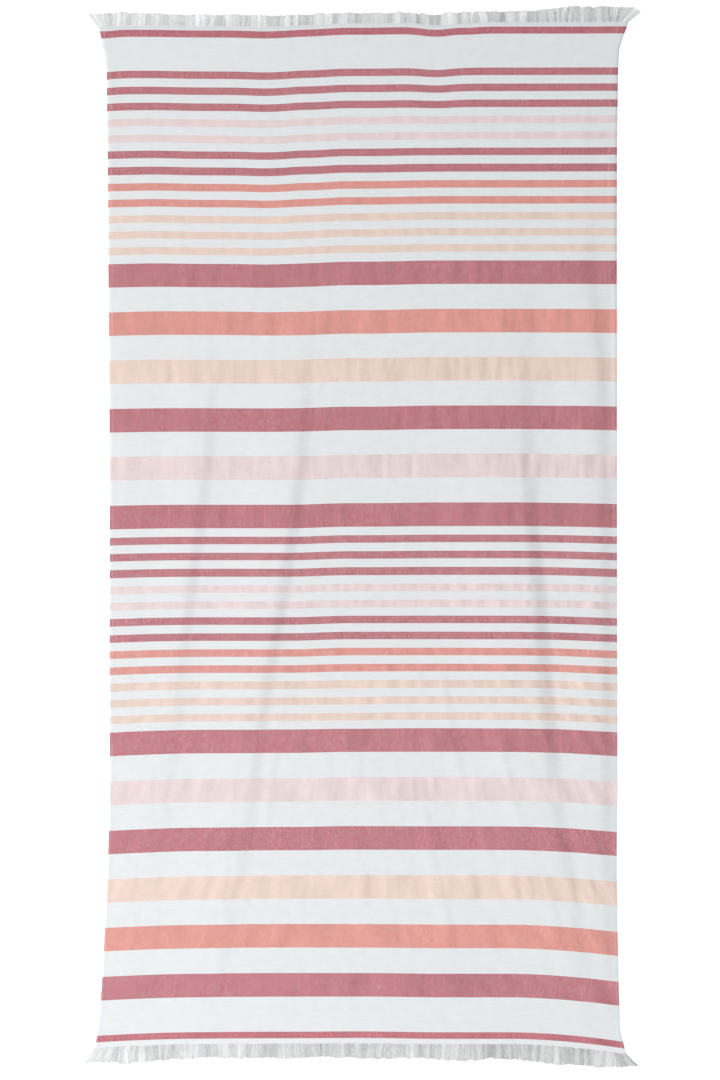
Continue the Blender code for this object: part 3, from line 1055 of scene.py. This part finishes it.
class TOWEL_OT_weave_cloth(bpy.types.Operator):
    """Lay out the woven cloth with its folds, creases, ripples and side hems"""

    bl_idname = "towel.weave_cloth"
    bl_label = "Weave Cloth"
    bl_options = {"REGISTER", "UNDO"}

    def execute(self, context):
        cloth = context.scene.towel_cloth
        u, v = np.meshgrid(cloth_columns(), cloth_rows())
        x, y, height = lie(u, v)
        places = np.stack([x, y, height], axis=2).reshape(-1, 3)
        tall, wide = u.shape
        corners = (np.arange(wide - 1) + np.arange(tall - 1)[:, None] * wide).reshape(-1)
        faces = np.stack([corners, corners + 1, corners + wide + 1, corners + wide], axis=1)
        mesh = bpy.data.meshes.new("cloth_sheet")
        mesh.from_pydata(places.tolist(), [], faces.tolist())
        mesh.shade_smooth()

        across = (x - x[:, :1]) / (x[:, -1:] - x[:, :1]) * FLAT_WIDTH - FLAT_WIDTH / 2
        plan = np.stack([across, v], axis=2).reshape(-1, 2)
        self.add_maps(mesh, plan, faces)
        mesh.materials.append(woven_cotton(cloth))
        piece = add_piece("cloth_sheet", mesh)
        self.add_thickness(piece, u, v, cloth)
        make_plain(piece)
        piece.data.set_sharp_from_angle(angle=SHARP)
        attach(piece, BODY)
        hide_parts("cloth")
        return {"FINISHED"}

    def add_maps(self, mesh, plan, faces):
        """The plan in metres, and the map for the bake, where the cloth's halves lie side by side."""
        by_corner = plan[faces.reshape(-1)]
        mesh.uv_layers.new(name=PLAN_MAP).uv.foreach_set("vector", by_corner.astype(np.float32).ravel())
        across = (by_corner[:, 0] / FLAT_WIDTH + 0.5) * (0.5 - 2 * BAKE_MARGIN) + BAKE_MARGIN
        upper = np.repeat(plan[faces, 1].mean(axis=1) > BAKE_SPLIT, 4)
        tall = (1 - 2 * BAKE_MARGIN) / (TOP_END + ABOVE_SPLIT)
        along = by_corner[:, 1] - np.where(upper, BAKE_SPLIT, BOTTOM_END)
        along = along * tall + BAKE_MARGIN
        baked = np.stack([across + 0.5 * upper, along + ABOVE_SPLIT * tall * upper], axis=1)
        mesh.uv_layers.new(name=BAKE_MAP).uv.foreach_set("vector", baked.astype(np.float32).ravel())

    def add_thickness(self, piece, u, v, cloth):
        thick = hem_thickness(u) * cloth.thickness / HEM_SECTION[-1][1]
        ends = ease(np.minimum(TOP_END - v, v - BOTTOM_END), -END_TAPER, END_TAPER)
        thick = (thick * ends).reshape(-1)
        layers = piece.vertex_groups.new(name="layers")
        most = float(thick.max())
        for vertex, value in enumerate(thick):
            layers.add([vertex], float(value) / most, "REPLACE")
        solidify = piece.modifiers.new("thickness", "SOLIDIFY")
        solidify.thickness = most
        solidify.offset = 1
        solidify.vertex_group = layers.name


class TOWEL_OT_sew_hems(bpy.types.Operator):
    """Sew a row of stitches along both side hems"""

    bl_idname = "towel.sew_hems"
    bl_label = "Sew Hems"
    bl_options = {"REGISTER", "UNDO"}

    def execute(self, context):
        sewing = context.scene.towel_stitches
        tree, keys = stitch_tree()
        thread = loose_cotton("sewing_thread", context.scene.towel_cloth.white)
        for side, place in (("left", LEFT_U + STITCH_LINE), ("right", RIGHT_U - STITCH_LINE)):
            v = np.linspace(-HALF_LENGTH, HALF_LENGTH, 2 * ROWS)
            u = np.full_like(v, place)
            x, y, height = lie(u, v)
            top = height + hem_thickness(u)
            name = f"stitches_{side}"
            piece = add_piece(name, line_mesh(name, np.stack([x, y, top], axis=1)))
            grow(piece, tree, keys, {
                "Pitch": sewing.pitch,
                "Stitch Length": sewing.length,
                "Thread": sewing.thread,
                "Material": thread,
            })
            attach(piece, BODY)
        return {"FINISHED"}


class TOWEL_OT_fray_ends(bpy.types.Operator):
    """Fray the loose warp yarns at both ends into fringes"""

    bl_idname = "towel.fray_ends"
    bl_label = "Fray Ends"
    bl_options = {"REGISTER", "UNDO"}

    def execute(self, context):
        sizes = context.scene.towel_fringes
        tree, keys = fringe_tree()
        yarn = loose_cotton("loose_yarn", sizes.colour, "tone")
        for seed, (name, fringe) in enumerate(FRINGES.items()):
            piece = add_piece(f"fringe_{name}_yarns", fringe_line(f"fringe_{name}_yarns", fringe))
            grow(piece, tree, keys, {
                "Yarns": sizes.yarns,
                "Yarn": sizes.yarn,
                "Tuft": sizes.tuft,
                "Sway": sizes.sway,
                "Spread": sizes.spread,
                "End": float(fringe["end"]),
                "Seed": SEED_STEP * seed,
                "Material": yarn,
            })
            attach(piece, BODY)
            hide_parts(f"fringe_{name}")
        return {"FINISHED"}


class TOWEL_OT_declare_sheet(bpy.types.Operator):
    """An empty step that changes nothing in the scene"""

    bl_idname = "towel.declare_sheet"
    bl_label = "Declare Sheet"

    def execute(self, context):
        return {"FINISHED"}


class TOWEL_OT_set_stage(bpy.types.Operator):
    """Set out the floor, the light and the camera straight above"""

    bl_idname = "towel.set_stage"
    bl_label = "Set Stage"
    bl_options = {"REGISTER", "UNDO"}

    def execute(self, context):
        stage = context.scene.towel_stage
        self.add_floor(stage)
        self.add_light(context, stage)
        self.add_camera(context, stage)
        context.scene.view_settings.view_transform = "Standard"
        return {"FINISHED"}

    def add_floor(self, stage):
        half = stage.floor_size / 2
        mesh = bpy.data.meshes.new("floor")
        corners = ((-half, -half), (half, -half), (half, half), (-half, half))
        mesh.from_pydata([(*corner, FLOOR_HEIGHT) for corner in corners], [], [(0, 1, 2, 3)])
        mesh.materials.append(new_material("pale_floor", FLOOR)[0])
        add_piece("floor", mesh)

    def add_light(self, context, stage):
        lamp = bpy.data.lights.new("key_light", "AREA")
        lamp.energy = stage.key_power
        lamp.size = stage.key_size
        light = add_piece("key_light", lamp)
        light.location = stage.key_place
        light.rotation_euler = Vector(stage.key_place).to_track_quat("Z", "Y").to_euler()
        world = bpy.data.worlds.new("soft_light")
        world.use_nodes = True
        sky = world.node_tree.nodes["Background"]
        sky.inputs["Color"].default_value = (1, 1, 1, 1)
        sky.inputs["Strength"].default_value = stage.sky
        context.scene.world = world

    def add_camera(self, context, stage):
        eye = bpy.data.cameras.new("camera")
        eye.lens = stage.lens
        eye.sensor_width = SENSOR
        camera = add_piece("camera", eye)
        away = stage.frame_height * stage.lens / SENSOR
        camera.location = (VIEW_X + STAND_X, VIEW_Y + STAND_Y, away)
        context.scene.camera = camera


class TOWEL_PT_sidebar(bpy.types.Panel):
    """The towel's pieces and their sizes"""

    bl_idname = "TOWEL_PT_sidebar"
    bl_label = "Hammam Towel"
    bl_space_type = "VIEW_3D"
    bl_region_type = "UI"
    bl_category = "Towel"

    def draw(self, context):
        for operator, group in PARTS:
            box = self.layout.box()
            box.operator(operator)
            if group:
                settings = getattr(context.scene, group)
                for name in settings.bl_rna.properties.keys():
                    if name not in ("rna_type", "name"):
                        box.prop(settings, name)


GROUPS = {
    "towel_cloth": TowelCloth,
    "towel_stitches": TowelStitches,
    "towel_fringes": TowelFringes,
    "towel_stage": TowelStage,
}
PARTS = (
    ("towel.weave_cloth", "towel_cloth"),
    ("towel.sew_hems", "towel_stitches"),
    ("towel.fray_ends", "towel_fringes"),
    ("towel.declare_sheet", None),
    ("towel.set_stage", "towel_stage"),
)
CLASSES = (
    *GROUPS.values(),
    TOWEL_OT_weave_cloth,
    TOWEL_OT_sew_hems,
    TOWEL_OT_fray_ends,
    TOWEL_OT_declare_sheet,
    TOWEL_OT_set_stage,
    TOWEL_PT_sidebar,
)


def register():
    for item in CLASSES:
        bpy.utils.register_class(item)
    for name, group in GROUPS.items():
        setattr(bpy.types.Scene, name, PointerProperty(type=group))


def unregister():
    for name in GROUPS:
        delattr(bpy.types.Scene, name)
    for item in reversed(CLASSES):
        bpy.utils.unregister_class(item)


def main():
    register()
    bpy.ops.towel.weave_cloth()
    bpy.ops.towel.sew_hems()
    bpy.ops.towel.fray_ends()
    bpy.ops.towel.declare_sheet()
    bpy.ops.towel.set_stage()


if __name__ == "__main__":
    main()
